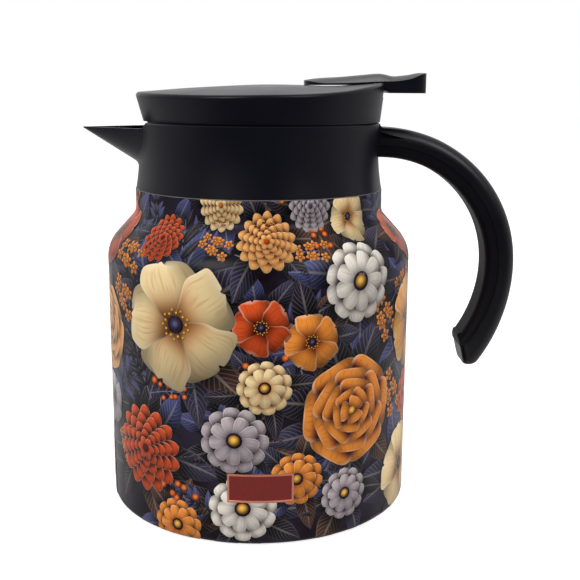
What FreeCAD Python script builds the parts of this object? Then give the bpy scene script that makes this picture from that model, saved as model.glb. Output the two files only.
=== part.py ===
import FreeCAD
import Part
import math
import os

# A one-litre vacuum jug for tea or coffee. A double-walled steel flask carries a moulded collar with
# a beak spout and an open C handle. A lid with a stopper plugs into the collar. A thumb lever on the
# lid lifts a spring-loaded valve in the stopper, and the jug pours without the lid coming off.
# Origin: centre of the foot, on the table. +Z is up, the spout points to -X and the handle to +X.
# Lengths are millimetres and angles are degrees.

V = FreeCAD.Vector
UP = V(0, 0, 1)
ACROSS = V(0, 1, 0)

# Flask
body_radius = 60.0
wall_height = 99.0
shoulder_lean = 42.0
shoulder_round = 13.0
neck_radius = 48.6
neck_round = 5.0
neck_land = 7.4
neck_edge = 0.6
heel_round = 2.5
sheet = 0.8
vacuum_gap = 4.2
mouth_step = 7.6
mouth_round = 8.0
weld_gap = 0.6
spigot_height = 12.0
flask_floor_z = 8.0
floor_round = 14.0

# Foot
rim_lift = 0.5
rim_width = 8.0
pad_clearance = 0.5
pad_centre_radius = 18.0
pad_groove_width = 2.0
pad_groove_depth = 0.5
pad_groove_count = 3
pad_groove_pitch = 9.0
bead_radius = 30.0
bead_height = 1.2
bead_width = 6.0
getter_radius = 7.0
getter_height = 2.0

# Collar
collar_height = 25.3
collar_foot_inset = 0.1
collar_waist_inset = 1.55
collar_top_inset = 1.3
collar_wall = 3.0
collar_chamfer = 0.4
spigot_fit = 0.2
gasket_height = 0.8
ledge_height = 2.2
ledge_overhang = 2.0

# Spout
spout_length = 21.6
spout_half_slope = 0.73
spout_keel_slope = 0.62
spout_rim_drop = 2.2
spout_tip = 0.8
spout_wall_shift = 2.6
spout_root_round = 3.0
spout_rim_trim = 0.05
spout_sweep_start = 2.1
spout_sweep_length = 2.9

# Handle
handle_top_drop = 1.7
handle_thickness = 11.6
handle_width = 19.0
handle_grip_radius = 43.0
handle_tail_growth = 14.4
grip_tail_growth = 8.7
handle_edge_round = 4.4
handle_end_angle = -42.2
handle_end_lean = 13.5
handle_split = 4.8
grip_inset = 0.35
handle_tip_round = 3.2
grip_tip_round = 0.4
grip_lip_radius = 1.0
grip_lip_rise = 0.5
root_flare = 2.6
root_flare_inset = 2.2
slot_length = 9.5
slot_height = 3.0
slot_depth = 1.9
slot_drop = 1.2
screw_shank_radius = 1.5
screw_head_radius = 2.8
screw_head_height = 1.6
handle_screw_spread = 4.6
handle_screw_length = 13.0
screw_play = 0.05

# Lid cover
seam_gap = 0.4
lid_inset = 1.0
lid_flare = 3.9
lid_flare_rise = 20.0
lid_foot_shift = 1.1
lid_head_shift = -0.5
lid_height = 13.93
lid_wall = 2.0
lid_roof = 2.2
crown_across_radius = 330.0
lid_rim_round = 1.3
crown_stations = (
    (-1.6, -4.9), (-1.0, -3.0), (-0.65, -1.65), (-0.32, -0.7), (0.0, 0.0), (0.21, 0.05), (0.43, -0.1),
    (0.67, -0.1), (0.84, 0.4), (1.02, 1.15), (1.6, 3.2),
)

# Stopper
plate_height = 1.6
plate_clearance = 0.3
stopper_clearance = 0.6
stopper_wall = 2.0
plug_clearance = 0.8
plug_depth = 10.0
plug_floor = 2.0
seal_height = 1.0
gasket_groove_depth = 1.0
gasket_groove_height = 3.0
gasket_stand = 0.15
gasket_lift = 3.0
window_half_width = 12.0
window_sill = 2.0
window_height = 6.5
locator_height = 1.5
locator_wall = 1.6
locator_fit = 0.2

# Valve
port_radius = 11.0
seat_lip_height = 1.0
seat_lip_width = 1.6
valve_seal_radius = 15.0
valve_seal_height = 1.6
valve_disc_radius = 13.5
valve_disc_height = 2.4
valve_hub_radius = 4.6
valve_hub_height = 2.0
stem_radius = 3.0
stem_tip_radius = 2.0
stem_foot_radius = 7.0
stem_foot_height = 1.4
stem_play = 0.1
guide_radius = 5.0
guide_depth = 5.0
oring_section = 1.0
cap_radius = 6.0
cap_height = 1.4
spring_radius = 6.4
spring_wire = 1.0
spring_turns = 5.0
spring_steps = 16
spring_sides = 6
spring_end_gap = 0.1

# Lever
lever_press = 6.8
pivot_inset = 6.3
pivot_rise = 6.3
pin_radius = 1.5
pin_running_fit = 0.05
pin_press_fit = 0.01
hub_radius = 3.6
lever_half_width = 10.0
lever_front_reach = 22.5
lever_overhang = 18.2
lever_corner_round = 4.0
lever_recess = 0.4
lever_recess_play = 0.4
lever_front_gap = 0.3
lever_rear_gap = 0.9
tab_depth = 3.4
lever_stations = (
    (-0.05, 1.0, -0.2), (0.0, 1.3, -0.17), (0.06, 1.8, -0.12), (0.14, 2.18, -0.07), (0.31, 2.68, 0.03),
    (0.48, 3.43, 0.33), (0.63, 3.98, 0.66), (0.69, 3.48, 0.76), (0.735, 3.05, 0.9), (0.80, 3.18, 1.25),
    (0.88, 3.68, 2.1), (0.95, 4.33, 3.55), (1.0, 4.3, 4.0), (1.05, 4.2, 4.1),
)
arm_half_width = 6.4
arm_height = 2.2
fork_clearance = 0.5
fork_reach = 3.2
fork_nose_radius = 1.0
fork_gap = 0.2
arm_floor_gap = 0.3
web_front = 4.0
web_back = 4.4
slot_play = 0.6
ear_thickness = 3.2
ear_radius = 3.8
ear_gap = 0.3

# Lid screws
lid_screw_inset = 15.3
lid_boss_radius = 3.6
lid_screw_length = 9.0
lid_screw_angles = (60.0, 180.0, 300.0)

# Heights and radii that follow from the driving dimensions
lean = math.radians(shoulder_lean)
corner_rise = math.tan(lean / 2)
shoulder_corner_z = wall_height + shoulder_round * corner_rise
neck_corner_z = shoulder_corner_z + (body_radius - neck_radius) / math.tan(lean)
seat_z = neck_corner_z + neck_round * corner_rise + neck_land
mouth_z = seat_z + spigot_height
mouth_radius = neck_radius - mouth_step
spigot_radius = mouth_radius + sheet + weld_gap + sheet
lip_top_z = rim_lift + sheet
plate_top_z = lip_top_z + sheet

collar_top_z = seat_z + collar_height
collar_foot_radius = neck_radius - collar_foot_inset
collar_top_radius = neck_radius - collar_top_inset
collar_inner_radius = collar_top_radius - collar_wall
ledge_z = mouth_z + gasket_height
ledge_top_z = ledge_z + ledge_height

seam_z = collar_top_z + seam_gap
lid_radius = collar_top_radius - lid_inset
crown_z = seam_z + lid_height
lid_plate_top_z = seam_z + plate_height
stopper_radius = collar_inner_radius - stopper_clearance
plug_radius = mouth_radius - plug_clearance
stopper_seat_z = ledge_top_z + seal_height
plug_bottom_z = mouth_z - plug_depth
plug_floor_z = plug_bottom_z + plug_floor
seat_lip_z = plug_floor_z + seat_lip_height
valve_disc_z = seat_lip_z + valve_seal_height
valve_disc_top_z = valve_disc_z + valve_disc_height

pivot_x = lid_radius - pivot_inset
pivot_z = seam_z + pivot_rise
lever_front_x = pivot_x - lever_front_reach
lever_end_x = lid_radius + lever_overhang
lid_screw_circle = lid_radius - lid_screw_inset
fork_nose_z = lid_plate_top_z + arm_floor_gap + 2 * fork_nose_radius
cap_z = fork_nose_z + fork_gap


def smooth_through(stations, x):
    """Value at x on a smooth curve through stations of (x, value)."""
    last = len(stations) - 1
    k = 0
    while k < last - 1 and x > stations[k + 1][0]:
        k += 1

    def slope(i):
        before = stations[max(i - 1, 0)]
        after = stations[min(i + 1, last)]
        return (after[1] - before[1]) / (after[0] - before[0])

    (x0, v0), (x1, v1) = stations[k], stations[k + 1]
    span = x1 - x0
    t = min(max((x - x0) / span, 0.0), 1.0)
    rest = 1 - t
    return (v0 * (1 + 2 * t) * rest ** 2 + v1 * t ** 2 * (3 - 2 * t)
            + span * (slope(k) * t * rest ** 2 - slope(k + 1) * t ** 2 * rest))


def ridge_z(x):
    """Height of the lid's top along its middle. It rises to the axis and again to the rear rim."""
    return crown_z + smooth_through(crown_stations, x / lid_radius)


deck_z = ridge_z(pivot_x)
lid_rear_x = lid_radius + lid_foot_shift


# Drawing helpers
def outline(points):
    """Closed wire in the XZ plane. A corner is (x, z), or (x, z, rounding) for a tangent arc."""
    corners = [V(p[0], 0, p[1]) for p in points]
    count = len(corners)
    stations = []
    for i, point in enumerate(points):
        corner = corners[i]
        rounding = point[2] if len(point) > 2 else 0.0
        if rounding <= 0:
            stations.append((corner, None, corner))
            continue
        back = (corners[i - 1] - corner).normalize()
        ahead = (corners[(i + 1) % count] - corner).normalize()
        half = back.getAngle(ahead) / 2
        reach = rounding / math.tan(half)
        centre = corner + (back + ahead).normalize() * (rounding / math.sin(half))
        middle = centre + (corner - centre).normalize() * rounding
        stations.append((corner + back * reach, middle, corner + ahead * reach))
    edges = []
    for i in range(count):
        arrive, middle, leave = stations[i]
        if middle is not None:
            edges.append(Part.Arc(arrive, middle, leave).toShape())
        following = stations[(i + 1) % count][0]
        if (following - leave).Length > 1e-6:
            edges.append(Part.LineSegment(leave, following).toShape())
    return Part.Wire(edges)


def turned(points):
    """Solid of revolution about Z from a closed outline of radius and height."""
    return Part.Face(outline(points)).revolve(V(), UP, 360)


def ring(inner, outer, low, high):
    return turned([(inner, low), (outer, low), (outer, high), (inner, high)])


def disc(radius, low, high, x=0.0, y=0.0):
    return Part.makeCylinder(radius, high - low, V(x, y, low))


def slab(points, half_width):
    """Outline in the XZ plane, extruded evenly to both sides of Y = 0."""
    face = Part.Face(outline(points))
    face.translate(V(0, -half_width, 0))
    return face.extrude(V(0, 2 * half_width, 0))


def block(x_low, x_high, half_width, z_low, z_high):
    return Part.makeBox(x_high - x_low, 2 * half_width, z_high - z_low, V(x_low, -half_width, z_low))


def cross_rod(radius, x, z, half_length):
    return Part.makeCylinder(radius, 2 * half_length, V(x, -half_length, z), ACROSS)


# Flask
def outer_shell():
    inner_shift = sheet * corner_rise
    return turned([
        (body_radius - rim_width, rim_lift),
        (body_radius, rim_lift, heel_round),
        (body_radius, shoulder_corner_z, shoulder_round),
        (neck_radius, neck_corner_z, neck_round),
        (neck_radius, seat_z, neck_edge),
        (spigot_radius, seat_z),
        (spigot_radius, mouth_z - sheet),
        (spigot_radius - sheet, mouth_z - sheet),
        (spigot_radius - sheet, seat_z - sheet),
        (neck_radius - sheet, seat_z - sheet),
        (neck_radius - sheet, neck_corner_z - inner_shift, neck_round + sheet),
        (body_radius - sheet, shoulder_corner_z - inner_shift, shoulder_round - sheet),
        (body_radius - sheet, lip_top_z, heel_round - sheet),
        (body_radius - rim_width, lip_top_z),
    ])


def inner_flask():
    outside = body_radius - sheet - vacuum_gap
    inside = outside - sheet
    outer_corner_z = shoulder_corner_z - (sheet + vacuum_gap) * corner_rise
    inner_corner_z = outer_corner_z - sheet * corner_rise
    neck_outside = mouth_radius + sheet
    neck_rise = (outside - neck_outside) / math.tan(lean)
    outer_round = shoulder_round - sheet - vacuum_gap
    return turned([
        (0, flask_floor_z),
        (outside, flask_floor_z, floor_round),
        (outside, outer_corner_z, outer_round),
        (neck_outside, outer_corner_z + neck_rise, mouth_round),
        (neck_outside, mouth_z - sheet),
        (spigot_radius, mouth_z - sheet),
        (spigot_radius, mouth_z),
        (mouth_radius, mouth_z, sheet / 2),
        (mouth_radius, inner_corner_z + neck_rise, mouth_round + sheet),
        (inside, inner_corner_z, outer_round - sheet),
        (inside, flask_floor_z + sheet, floor_round - sheet),
        (0, flask_floor_z + sheet),
    ])


def bottom_plate():
    edge = body_radius - sheet - heel_round
    half = bead_width / 2
    return turned([
        (0, lip_top_z),
        (bead_radius - half, lip_top_z),
        (bead_radius, lip_top_z + bead_height, half / 2),
        (bead_radius + half, lip_top_z),
        (edge, lip_top_z),
        (edge, plate_top_z),
        (bead_radius + half, plate_top_z),
        (bead_radius, plate_top_z + bead_height, half / 2),
        (bead_radius - half, plate_top_z),
        (0, plate_top_z),
    ])


def foot_pad():
    pad = disc(body_radius - rim_width - pad_clearance, 0, lip_top_z)
    for i in range(pad_groove_count):
        inner = pad_centre_radius + i * pad_groove_pitch
        pad = pad.cut(ring(inner, inner + pad_groove_width, -1, pad_groove_depth))
    return pad


def getter():
    return disc(getter_radius, plate_top_z, plate_top_z + getter_height)


# Collar with its spout
def collar_side():
    """Waisted outer side of the collar, as an arc from its foot to its top."""
    foot = V(collar_foot_radius, 0, seat_z)
    waist = V(neck_radius - collar_waist_inset, 0, (seat_z + collar_top_z) / 2)
    top = V(collar_top_radius, 0, collar_top_z - collar_chamfer)
    return Part.Arc(foot, waist, top).toShape()


def collar_outside():
    """The collar's outer form as a full plug, without its bore."""
    side = collar_side()
    corners = [
        V(collar_top_radius, 0, collar_top_z - collar_chamfer),
        V(collar_top_radius - collar_chamfer, 0, collar_top_z),
        V(0, 0, collar_top_z),
        V(0, 0, seat_z),
        V(collar_foot_radius, 0, seat_z),
    ]
    lines = [Part.LineSegment(a, b).toShape() for a, b in zip(corners, corners[1:])]
    return Part.Face(Part.Wire([side] + lines)).revolve(V(), UP, 360)


def collar_bore():
    """The space inside the collar: around the steel spigot, past the ledge and up to the lid."""
    spigot = disc(spigot_radius + spigot_fit, seat_z - 1, ledge_z)
    throat = disc(spigot_radius - ledge_overhang, seat_z, collar_top_z)
    upper = disc(collar_inner_radius, ledge_top_z, collar_top_z + 1)
    return spigot.fuse(throat).fuse(upper)


def beak(shift):
    """Lower half of an elliptic cone that opens from the spout's tip towards the axis."""
    length = spout_length + collar_wall + 8 - shift
    cone = Part.makeCone(spout_tip, spout_tip + length, length, V(), V(1, 0, 0))
    flatten = FreeCAD.Matrix()
    flatten.scale(1, spout_half_slope, spout_keel_slope)
    cone = cone.transformGeometry(flatten)
    lower = cone.common(block(-1, length + 1, 2 * length, -2 * length, 0))
    lower.translate(V(shift - spout_length - collar_top_radius, 0, collar_top_z - spout_rim_drop))
    return lower


def spout_channel():
    """Inside of the spout: down to the collar's ledge and open at the top."""
    hollow = beak(spout_wall_shift)
    roof = [f for f in hollow.Faces if f.BoundBox.ZMin > collar_top_z - spout_rim_drop - 0.01][0]
    opening = hollow.fuse(roof.extrude(V(0, 0, spout_rim_drop + 1)))
    reach = collar_top_radius + spout_length
    return opening.common(disc(reach, ledge_top_z, collar_top_z + 2))


def collar_with_beak():
    """Collar and spout as one plug, with the root of the spout rounded into the collar's side."""
    plug = collar_outside().fuse(beak(0.0)).removeSplitter()
    root = []
    for edge in plug.Edges:
        box = edge.BoundBox
        on_collar = box.XMax < -collar_inner_radius / 2 and box.XMin > -collar_foot_radius
        if on_collar and box.ZMin < collar_top_z - 2 * spout_rim_drop:
            root.append(edge)
    return plug.makeFillet(spout_root_round, root)


def rim_sweep():
    """Cutter that leads the collar's rim down to the spout's rim in a hollow curve."""
    low = collar_top_z - spout_rim_drop - spout_rim_trim
    start = V(spout_sweep_start - collar_top_radius, 0, low)
    stop = V(start.x + spout_sweep_length, 0, collar_top_z + spout_rim_trim)
    bend = V(start.x + 0.55 * spout_sweep_length, 0, low + 0.35 * (stop.z - low))
    left = start.x - 2 * spout_length
    inner = [stop, V(stop.x, 0, stop.z + 5), V(left, 0, stop.z + 5), V(left, 0, low), start]
    edges = [Part.LineSegment(a, b).toShape() for a, b in zip(inner, inner[1:])]
    face = Part.Face(Part.Wire([Part.Arc(start, bend, stop).toShape()] + edges))
    half = collar_top_radius
    face.translate(V(0, -half, 0))
    return face.extrude(V(0, 2 * half, 0))


def collar():
    body = collar_with_beak().cut(collar_bore()).cut(spout_channel()).cut(rim_sweep())
    for y in (-handle_screw_spread, handle_screw_spread):
        body = body.cut(handle_screw(y, screw_play, collar_wall))
    return body.removeSplitter()


def collar_gasket():
    return ring(mouth_radius, spigot_radius, mouth_z, ledge_z)


# Handle
handle_centre_x = collar_top_radius + 0.7
handle_centre_z = collar_top_z - handle_top_drop - handle_thickness - handle_grip_radius
handle_outer_radius = handle_grip_radius + handle_thickness
grip_tail_radius = handle_grip_radius + grip_tail_growth
handle_tail_radius = handle_outer_radius + handle_tail_growth


def handle_reach(angle, radius, tail):
    """Radius of the handle's inner or outer side: round above, and on a larger tail arc below."""
    if angle >= 0:
        return radius
    offset = tail - radius
    cosine = math.cos(math.radians(angle))
    return math.sqrt(tail ** 2 - offset ** 2 * (1 - cosine ** 2)) - offset * cosine


def handle_end_corner():
    """Inner corner of the handle's slanting end."""
    end = math.radians(handle_end_angle)
    reach = handle_reach(handle_end_angle, handle_grip_radius, grip_tail_radius)
    return V(handle_centre_x + reach * math.cos(end), 0, handle_centre_z + reach * math.sin(end))


def handle_section(angle, inset, slide=0.0):
    """Rounded section across the handle at an angle about its centre."""
    inner = handle_reach(angle, handle_grip_radius, grip_tail_radius)
    outer = handle_reach(angle, handle_outer_radius, handle_tail_radius)
    half = handle_width / 2 - inset
    corner = handle_edge_round - inset
    wire = outline([
        (-half, inner, corner), (half, inner, corner), (half, outer, corner), (-half, outer, corner),
    ])
    wire.rotate(V(), UP, 90)
    wire.rotate(V(), ACROSS, 90 - angle)
    wire.translate(V(handle_centre_x - slide, 0, handle_centre_z))
    return wire


def handle_horn(inset):
    """The whole curved handle, from inside the collar to its slanting end."""
    sections = [handle_section(90, inset, 8.0), handle_section(90, inset, 4.0)]
    sections += [handle_section(a, inset) for a in range(90, -75, -15)]
    horn = Part.makeLoft(sections, True, False)
    cutter = block(-200, 0, handle_width, -200, 200)
    cutter.rotate(V(), ACROSS, -handle_end_lean)
    cutter.translate(handle_end_corner())
    below = block(handle_centre_x, 200, handle_width, -100, handle_centre_z)
    return horn.cut(cutter.common(below))


def handle_core():
    """Cylinder that parts the inner grip from the outer shell."""
    return cross_rod(handle_grip_radius + handle_split, handle_centre_x, handle_centre_z, handle_width)


def root_slot(side):
    """Tapering slot beside the handle's root, under its outer edge."""
    top = handle_centre_z + handle_outer_radius - slot_drop
    start = collar_top_radius - 2
    stop = collar_top_radius + slot_length
    wedge = slab([(start, top), (stop, top - slot_height), (start, top - slot_height)], slot_depth)
    wedge.translate(V(0, side * handle_width / 2, 0))
    return wedge


def handle_screw(y, play, pocket=0.0):
    """Screw along X from a pocket inside the collar into the handle's root."""
    head_x = collar_inner_radius
    z = handle_centre_z + handle_grip_radius + handle_split + (handle_thickness - handle_split) / 2
    head_length = screw_head_height + play + pocket
    head = Part.makeCylinder(screw_head_radius + play, head_length, V(head_x - pocket, y, z), V(1, 0, 0))
    shank = Part.makeCylinder(screw_shank_radius + play, handle_screw_length, V(head_x, y, z), V(1, 0, 0))
    return head.fuse(shank)


def root_fairing():
    """Hollow curve that runs from the top of the handle up to the collar's rim."""
    top = handle_centre_z + handle_outer_radius
    side = collar_top_radius - collar_chamfer
    start = V(side + root_flare, 0, top - 0.2)
    stop = V(side, 0, top + root_flare * 0.55)
    bend = V(side + 0.25 * root_flare, 0, top + 0.1 * root_flare)
    back = side - collar_wall
    inner = [stop, V(back, 0, stop.z), V(back, 0, start.z - 2), V(start.x, 0, start.z - 2), start]
    edges = [Part.LineSegment(a, b).toShape() for a, b in zip(inner, inner[1:])]
    face = Part.Face(Part.Wire([Part.Arc(start, bend, stop).toShape()] + edges))
    half = handle_width / 2 - root_flare_inset
    face.translate(V(0, -half, 0))
    return face.extrude(V(0, 2 * half, 0))


def rounded_end(solid, rounding):
    """The piece with the free edges of the handle's slanting end rounded, but not its parting edge."""
    corner = handle_end_corner()
    normal = V(math.cos(math.radians(handle_end_lean)), 0, math.sin(math.radians(handle_end_lean)))
    parting = handle_grip_radius + handle_split
    centre = V(handle_centre_x, 0, handle_centre_z)
    found = []
    for edge in solid.Edges:
        middle = edge.valueAt((edge.FirstParameter + edge.LastParameter) / 2)
        points = [v.Point for v in edge.Vertexes] + [middle]
        on_end = max(abs((p - corner).dot(normal)) for p in points) < 0.01
        on_parting = max(abs(math.hypot(p.x - centre.x, p.z - centre.z) - parting) for p in points) < 0.01
        if on_end and not on_parting:
            found.append(edge)
    return solid.makeFillet(rounding, found)


def handle_shell():
    shell = rounded_end(handle_horn(0.0).cut(handle_core()), handle_tip_round)
    shell = shell.fuse(root_fairing()).cut(collar_outside())
    for side in (-1, 1):
        shell = shell.cut(root_slot(side))
        shell = shell.cut(handle_screw(side * handle_screw_spread, screw_play))
    return shell.removeSplitter()


def handle_grip():
    grip = rounded_end(handle_horn(grip_inset).common(handle_core()), grip_tip_round)
    corner = handle_end_corner()
    lean_x = math.cos(math.radians(handle_end_lean))
    lean_z = math.sin(math.radians(handle_end_lean))
    step = grip_lip_radius + 0.1
    x = corner.x + step * lean_x - grip_lip_rise * lean_z
    z = corner.z + step * lean_z + grip_lip_rise * lean_x
    lip = cross_rod(grip_lip_radius, x, z, handle_width / 2 - handle_edge_round)
    return grip.fuse(lip).cut(collar_outside()).removeSplitter()


def handle_screws():
    return Part.makeCompound([handle_screw(y, 0.0) for y in (-handle_screw_spread, handle_screw_spread)])


# Lid cover
def lid_cone(inset):
    """Flaring side of the lid, drawn between a lower and an upper circle and set in by a wall."""
    low = Part.Wire(Part.makeCircle(lid_radius - inset, V(lid_foot_shift, 0, seam_z)))
    spread = lid_radius + lid_flare - inset
    high = Part.Wire(Part.makeCircle(spread, V(lid_head_shift, 0, seam_z + lid_flare_rise)))
    return Part.makeLoft([low, high], True, True)


def smooth_top(places, sides, height, depth):
    """Everything under a smooth face whose height is given at X places and Y sides."""
    surface = Part.BSplineSurface()
    surface.interpolate([[V(x, y, height(x, y)) for y in sides] for x in places])
    return surface.toShape().extrude(V(0, 0, -depth))


def crown(drop):
    """Everything under the lid's top, lowered by a drop: the rising ridge, arched across Y."""
    reach = 1.4 * lid_radius
    places = [reach * step / 12 for step in range(-12, 13)]
    sides = [reach * step / 4 for step in range(-4, 5)]
    return smooth_top(
        places, sides, lambda x, y: ridge_z(x) - drop - y * y / (2 * crown_across_radius), 2 * lid_height)


def lid_screw_places():
    for angle in lid_screw_angles:
        turn = math.radians(angle)
        yield lid_screw_circle * math.cos(turn), lid_screw_circle * math.sin(turn)


def lid_screw(x, y, play):
    head = disc(screw_head_radius + play, seam_z - screw_head_height - play, seam_z, x, y)
    shank = disc(screw_shank_radius + play, seam_z, seam_z + lid_screw_length, x, y)
    return head.fuse(shank)


def pivot_ear(side):
    """Lug under the lid's roof that holds one end of the lever's pin."""
    inner = arm_half_width + ear_gap
    lug = Part.makeCylinder(ear_radius, ear_thickness, V(pivot_x, inner, pivot_z), ACROSS)
    stalk = Part.makeBox(
        2 * ear_radius, ear_thickness, lid_height, V(pivot_x - ear_radius, inner, pivot_z))
    ear = lug.fuse(stalk)
    return ear if side > 0 else ear.mirror(V(), ACROSS)


def lid_cover():
    outside = lid_cone(0.0).common(crown(0.0))
    rims = [e for e in outside.Edges if e.BoundBox.ZMin > seam_z + 1 and e.Length > lid_radius]
    outside = outside.makeFillet(lid_rim_round, rims)
    hollow = lid_cone(lid_wall).common(crown(lid_roof))
    supports = [disc(lid_boss_radius, lid_plate_top_z, deck_z, x, y) for x, y in lid_screw_places()]
    supports += [pivot_ear(side) for side in (-1, 1)]
    cover = outside.cut(hollow)
    for support in supports:
        cover = cover.fuse(support.common(hollow))
    cover = cover.cut(lever_plan(lever_recess_play).cut(crown(lever_recess)))
    notch_floor = deck_z - tab_depth - 1.7
    rear = pivot_x + web_back
    cover = cover.cut(block(rear, 2 * lid_radius, lever_half_width + slot_play, notch_floor, deck_z + 5))
    front = pivot_x - web_front - slot_play
    slot_half = arm_half_width + ear_gap / 2
    cover = cover.cut(block(front, rear + 1, slot_half, deck_z - 2 * lid_roof, deck_z + 5))
    cover = cover.cut(cross_rod(pin_radius + pin_press_fit, pivot_x, pivot_z, pin_half_length()))
    for x, y in lid_screw_places():
        cover = cover.cut(lid_screw(x, y, screw_play))
    return cover.removeSplitter()


def pin_half_length():
    return arm_half_width + ear_gap + ear_thickness


def lever_pin():
    return cross_rod(pin_radius, pivot_x, pivot_z, pin_half_length())


def lid_screws():
    return Part.makeCompound([lid_screw(x, y, 0.0) for x, y in lid_screw_places()])


# Stopper
def lid_plate():
    """Floor of the lid and roof of the stopper's chamber, with the guide for the valve stem."""
    rim = lid_radius - lid_foot_shift - lid_wall - plate_clearance
    locator = stopper_radius - stopper_wall - locator_fit
    plate = turned([
        (0, seam_z - guide_depth),
        (guide_radius, seam_z - guide_depth),
        (guide_radius, seam_z),
        (locator - locator_wall, seam_z),
        (locator - locator_wall, seam_z - locator_height),
        (locator, seam_z - locator_height),
        (locator, seam_z),
        (rim, seam_z),
        (rim, lid_plate_top_z),
        (0, lid_plate_top_z),
    ])
    plate = plate.cut(disc(stem_radius + stem_play, seam_z - guide_depth - 1, lid_plate_top_z + 1))
    plate = plate.cut(oring_seat(0.0))
    for x, y in lid_screw_places():
        plate = plate.cut(disc(screw_shank_radius + screw_play, seam_z - 1, lid_plate_top_z + 1, x, y))
    return plate


def oring_seat(inset):
    """Ring in the stem guide: the groove itself, or the O-ring a little smaller in it."""
    middle = seam_z - guide_depth / 2
    inner = stem_radius + stem_play
    half = oring_section / 2 - inset
    return ring(inner, inner + oring_section - inset, middle - half, middle + half)


def stem_oring():
    return oring_seat(pin_press_fit)


def stopper_cup():
    """Plug and chamber. It hangs under the lid plate and seats on the collar's ledge."""
    inside_top = stopper_radius - stopper_wall
    inside_low = plug_radius - stopper_wall
    groove = plug_radius - gasket_groove_depth
    groove_low = plug_bottom_z + gasket_lift
    groove_high = groove_low + gasket_groove_height
    cup = turned([
        (port_radius, plug_bottom_z),
        (plug_radius, plug_bottom_z, 0.8),
        (plug_radius, groove_low),
        (groove, groove_low),
        (groove, groove_high),
        (plug_radius, groove_high),
        (plug_radius, stopper_seat_z),
        (stopper_radius, stopper_seat_z),
        (stopper_radius, seam_z),
        (inside_top, seam_z),
        (inside_top, stopper_seat_z + stopper_wall),
        (inside_low, stopper_seat_z),
        (inside_low, plug_floor_z),
        (port_radius + seat_lip_width, plug_floor_z),
        (port_radius + seat_lip_width, seat_lip_z),
        (port_radius, seat_lip_z),
    ])
    sill = stopper_seat_z + window_sill
    window = block(-2 * stopper_radius, -inside_low / 2, window_half_width, sill, sill + window_height)
    return cup.cut(window)


def stopper_seal():
    """Flat silicone ring under the stopper's shoulder, on the collar's ledge."""
    return ring(plug_radius, stopper_radius - pin_running_fit, ledge_top_z, stopper_seat_z)


def plug_gasket():
    """Silicone ring with two lips, in the groove round the plug."""
    groove = plug_radius - gasket_groove_depth
    low = plug_bottom_z + gasket_lift
    high = low + gasket_groove_height
    lip = mouth_radius - gasket_stand
    waist = plug_radius
    return turned([
        (groove, low), (lip, low), (lip, low + 1.0), (waist, low + 1.3),
        (waist, high - 1.3), (lip, high - 1.0), (lip, high), (groove, high),
    ])


# Valve
def valve_stem():
    return turned([
        (0, seat_lip_z - stem_foot_height),
        (stem_foot_radius, seat_lip_z - stem_foot_height, 0.5),
        (stem_foot_radius, seat_lip_z),
        (stem_radius, seat_lip_z),
        (stem_radius, cap_z),
        (stem_tip_radius, cap_z),
        (stem_tip_radius, cap_z + cap_height),
        (0, cap_z + cap_height),
    ])


def valve_seal():
    return ring(stem_radius, valve_seal_radius, seat_lip_z, valve_disc_z)


def valve_disc():
    hub_top = valve_disc_top_z + valve_hub_height
    return turned([
        (stem_radius, valve_disc_z),
        (valve_disc_radius, valve_disc_z),
        (valve_disc_radius, valve_disc_top_z, 0.8),
        (valve_hub_radius, valve_disc_top_z),
        (valve_hub_radius, hub_top, 0.5),
        (stem_radius, hub_top),
    ])


def stem_cap():
    return turned([
        (stem_tip_radius, cap_z), (cap_radius, cap_z), (cap_radius, cap_z + cap_height, 0.6),
        (stem_tip_radius, cap_z + cap_height),
    ])


def valve_spring():
    """Wire coil between the valve disc and the lid plate, drawn through sections round its helix."""
    wire_radius = spring_wire / 2
    low = valve_disc_top_z + spring_end_gap + wire_radius
    height = seam_z - spring_end_gap - wire_radius - low
    steps = int(spring_turns * spring_steps)
    sections = []
    for i in range(steps + 1):
        turn = 360.0 * i / spring_steps
        corners = []
        for k in range(spring_sides + 1):
            angle = 2 * math.pi * k / spring_sides
            corners.append(V(spring_radius + wire_radius * math.cos(angle), 0, wire_radius * math.sin(angle)))
        section = Part.makePolygon(corners)
        section.rotate(V(), UP, turn)
        section.translate(V(0, 0, low + height * i / steps))
        sections.append(section)
    return Part.makeLoft(sections, True, True)


# Lever
def lever_crown():
    """Everything under the lever's crowned top: a rising blade, a step, a thumb dip and an end lip."""
    half = lever_half_width + 0.5
    length = lever_end_x - lever_front_x
    middle = [(share, high) for share, high, low in lever_stations]
    side = [(share, low) for share, high, low in lever_stations]

    def height(x, y):
        share = (x - lever_front_x) / length
        high = smooth_through(middle, share)
        return deck_z + high - (high - smooth_through(side, share)) * (y / half) ** 2

    places = [lever_front_x + length * step / 26 for step in range(-1, 28)]
    return smooth_top(places, [half * step / 4 for step in range(-4, 5)], height, 4 * tab_depth)


def lever_plan(play):
    """Outline of the lever from above, with a round front and rounded rear corners."""
    half = lever_half_width + play
    front = lever_front_x - play
    front_round = 0.85 * half
    points = [
        (front, -half, front_round), (lever_end_x, -half, lever_corner_round),
        (lever_end_x, half, lever_corner_round), (front, half, front_round),
    ]
    wire = outline(points)
    wire.rotate(V(), V(1, 0, 0), 90)
    wire.translate(V(0, 0, deck_z - 3 * tab_depth))
    return Part.Face(wire).extrude(V(0, 0, 6 * tab_depth))


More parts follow.
